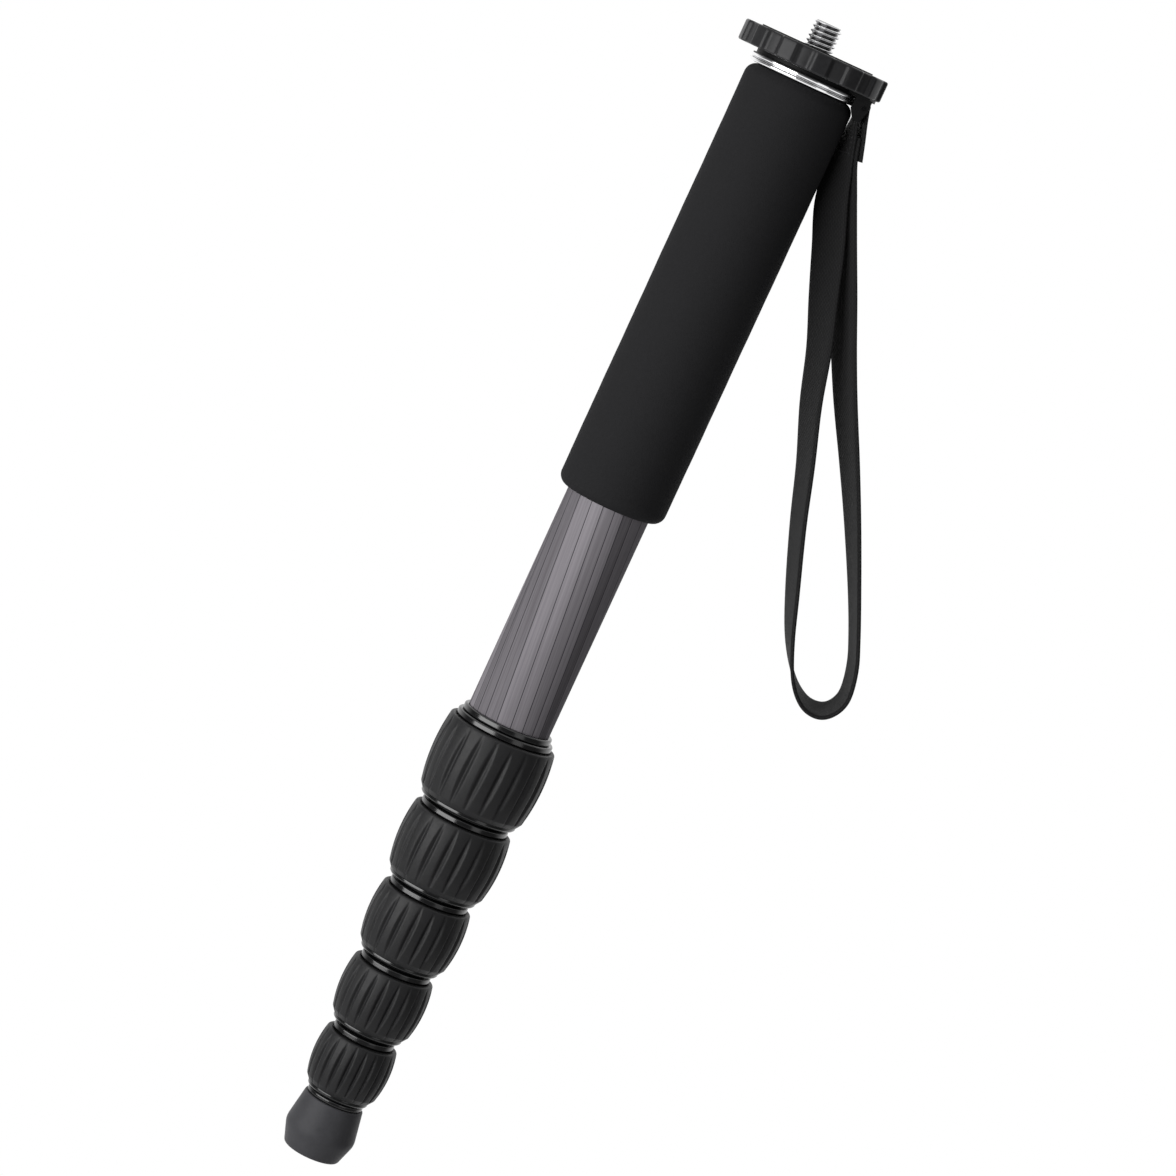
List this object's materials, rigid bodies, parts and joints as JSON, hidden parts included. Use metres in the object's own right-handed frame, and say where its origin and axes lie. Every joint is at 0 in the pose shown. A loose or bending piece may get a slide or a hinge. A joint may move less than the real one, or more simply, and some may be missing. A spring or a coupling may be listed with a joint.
{
  "type": "camera monopod",
  "caption": "Folding camera monopod with a foam grip, nested tubes, fluted twist locks, a threaded camera platform, a wrist strap and a rubber foot.",
  "frame": {"origin": "centre of the camera's seat: the middle of the stud at the level of the pad's top", "axes": "+Z along the monopod's axis, up out of the camera stud; +X to the side that the strap hangs on"},
  "size_m": [0.1205, 0.0492, 0.4002],
  "materials": {
    "stud_steel": "polished",
    "disc_black": "satin",
    "pad_rubber": "matte",
    "screw_steel": "satin",
    "neck_black": "satin",
    "pin_steel": "satin",
    "trim_bright": "polished",
    "plug_aluminium": "satin",
    "foam_black": "matte",
    "tube_carbon": "satin",
    "bushing_plastic": "matte",
    "ferrule_gloss": "gloss",
    "collet_plastic": "matte",
    "nut_gloss": "gloss",
    "grip_rubber": "matte",
    "foot_rubber": "matte",
    "insert_brass": "satin",
    "strap_webbing": "matte"
  },
  "bodies": {
    "upper": {"camera_stud": "stud_steel", "platform_disc": "disc_black", "platform_pad": "pad_rubber", "platform_screws": "screw_steel", "neck_collar": "neck_black", "strap_pin": "pin_steel", "trim_ring": "trim_bright", "head_plug": "plug_aluminium", "foam_grip": "foam_black", "tube_1": "tube_carbon", "ferrule_1": "ferrule_gloss", "collet_1": "collet_plastic"},
    "section_2": {"tube_2": "tube_carbon", "bushing_2": "bushing_plastic", "ferrule_2": "ferrule_gloss", "collet_2": "collet_plastic"},
    "section_3": {"tube_3": "tube_carbon", "bushing_3": "bushing_plastic", "ferrule_3": "ferrule_gloss", "collet_3": "collet_plastic"},
    "section_4": {"tube_4": "tube_carbon", "bushing_4": "bushing_plastic", "ferrule_4": "ferrule_gloss", "collet_4": "collet_plastic"},
    "section_5": {"tube_5": "tube_carbon", "bushing_5": "bushing_plastic", "ferrule_5": "ferrule_gloss", "collet_5": "collet_plastic"},
    "section_6": {"tube_6": "tube_carbon", "bushing_6": "bushing_plastic", "foot_plug": "plug_aluminium", "foot_insert": "insert_brass", "foot_ring": "ferrule_gloss", "rubber_foot": "foot_rubber"},
    "lock_1": {"lock_nut_1": "nut_gloss", "lock_grip_1": "grip_rubber"},
    "lock_2": {"lock_nut_2": "nut_gloss", "lock_grip_2": "grip_rubber"},
    "lock_3": {"lock_nut_3": "nut_gloss", "lock_grip_3": "grip_rubber"},
    "lock_4": {"lock_nut_4": "nut_gloss", "lock_grip_4": "grip_rubber"},
    "lock_5": {"lock_nut_5": "nut_gloss", "lock_grip_5": "grip_rubber"},
    "strap": {"wrist_strap": "strap_webbing"}
  },
  "joints": [
    {"name": "section_2_slide", "type": "slide", "parent": "upper", "child": "section_2", "axis": [0, 0, -1], "range_m": [0, 0.174]},
    {"name": "section_3_slide", "type": "slide", "parent": "section_2", "child": "section_3", "axis": [0, 0, -1], "range_m": [0, 0.205]},
    {"name": "section_4_slide", "type": "slide", "parent": "section_3", "child": "section_4", "axis": [0, 0, -1], "range_m": [0, 0.233]},
    {"name": "section_5_slide", "type": "slide", "parent": "section_4", "child": "section_5", "axis": [0, 0, -1], "range_m": [0, 0.259]},
    {"name": "section_6_slide", "type": "slide", "parent": "section_5", "child": "section_6", "axis": [0, 0, -1], "range_m": [0, 0.285]},
    {"name": "lock_1_twist", "type": "hinge", "parent": "upper", "child": "lock_1", "pos_m": [0, 0, -0.2528], "axis": [0, 0, 1], "range_deg": [0, 120]},
    {"name": "lock_2_twist", "type": "hinge", "parent": "section_2", "child": "lock_2", "pos_m": [0, 0, -0.28245], "axis": [0, 0, 1], "range_deg": [0, 120]},
    {"name": "lock_3_twist", "type": "hinge", "parent": "section_3", "child": "lock_3", "pos_m": [0, 0, -0.3096], "axis": [0, 0, 1], "range_deg": [0, 120]},
    {"name": "lock_4_twist", "type": "hinge", "parent": "section_4", "child": "lock_4", "pos_m": [0, 0, -0.3353], "axis": [0, 0, 1], "range_deg": [0, 120]},
    {"name": "lock_5_twist", "type": "hinge", "parent": "section_5", "child": "lock_5", "pos_m": [0, 0, -0.3598], "axis": [0, 0, 1], "range_deg": [0, 120]},
    {"name": "strap_swing", "type": "hinge", "parent": "upper", "child": "strap", "pos_m": [0.0208, 0, -0.0108], "axis": [0, -1, 0], "range_deg": [0, 60]}
  ]
}
